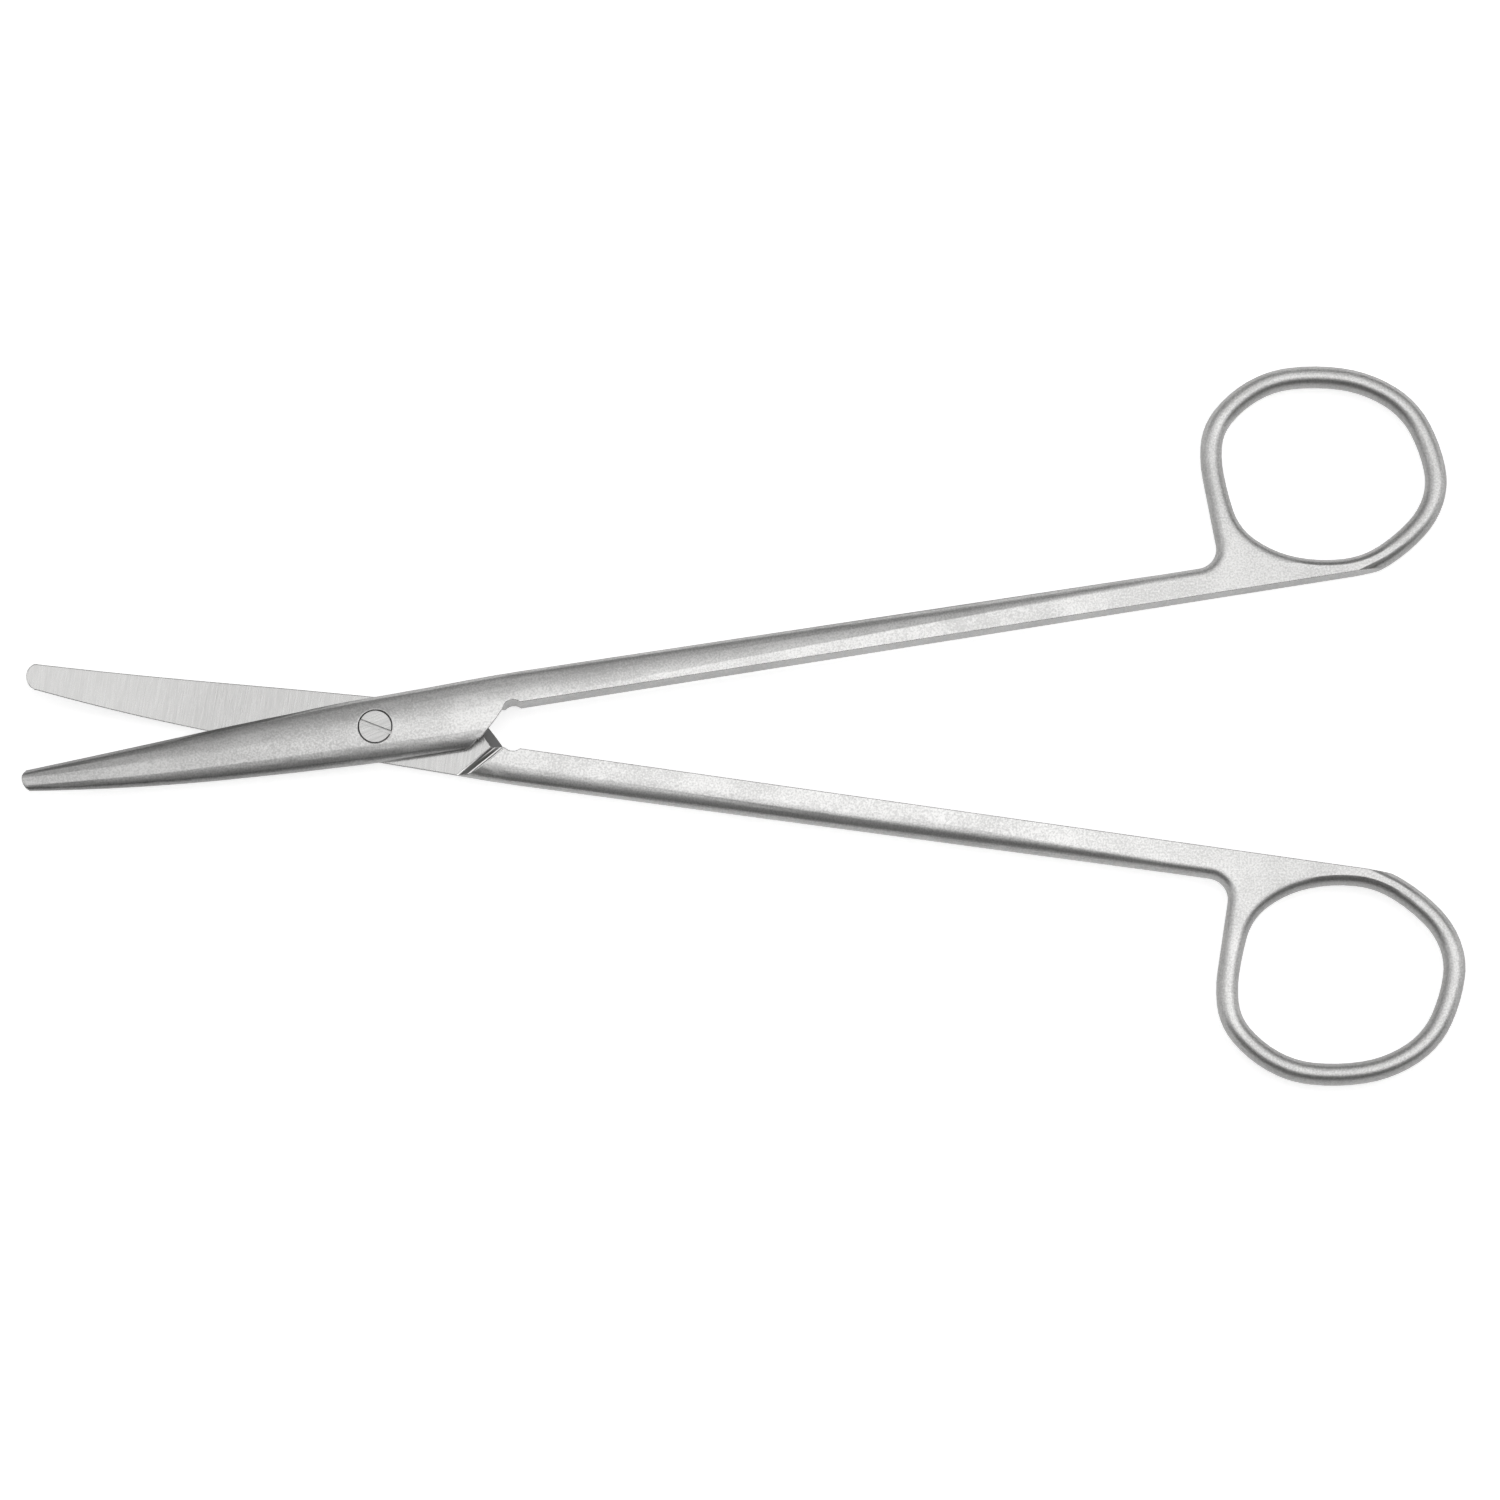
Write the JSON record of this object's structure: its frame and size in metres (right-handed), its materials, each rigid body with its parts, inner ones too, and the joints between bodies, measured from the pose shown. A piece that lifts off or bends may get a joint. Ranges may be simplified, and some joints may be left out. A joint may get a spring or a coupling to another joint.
{
  "type": "dissecting scissors",
  "caption": "Slender long-shanked dissecting scissors with blunt, gently upturned blades, finger rings and a slotted pivot screw, standing slightly open.",
  "frame": {"origin": "on the pivot axis, at the flush end of the pivot screw on the back, which rests on the table", "axes": "+X along the middle of the scissors towards the finger rings, +Y towards the ring of the front half, +Z along the pivot axis out of the screw head; the halves stand 17.4 degrees open"},
  "size_m": [0.1775, 0.0913, 0.0058],
  "materials": {
    "forged_steel": "satin, matt-blasted outside with finely ground inner faces",
    "screw_steel": "turned and finely brushed"
  },
  "bodies": {
    "rear": {"rear_half": "forged_steel", "pivot_screw": "screw_steel"},
    "front": {"front_half": "forged_steel"}
  },
  "joints": [
    {"name": "blade_pivot", "type": "hinge", "parent": "rear", "child": "front", "pos_m": [0, 0, 0.00204], "axis": [0, 0, 1], "range_deg": [-17.4, 50]}
  ]
}
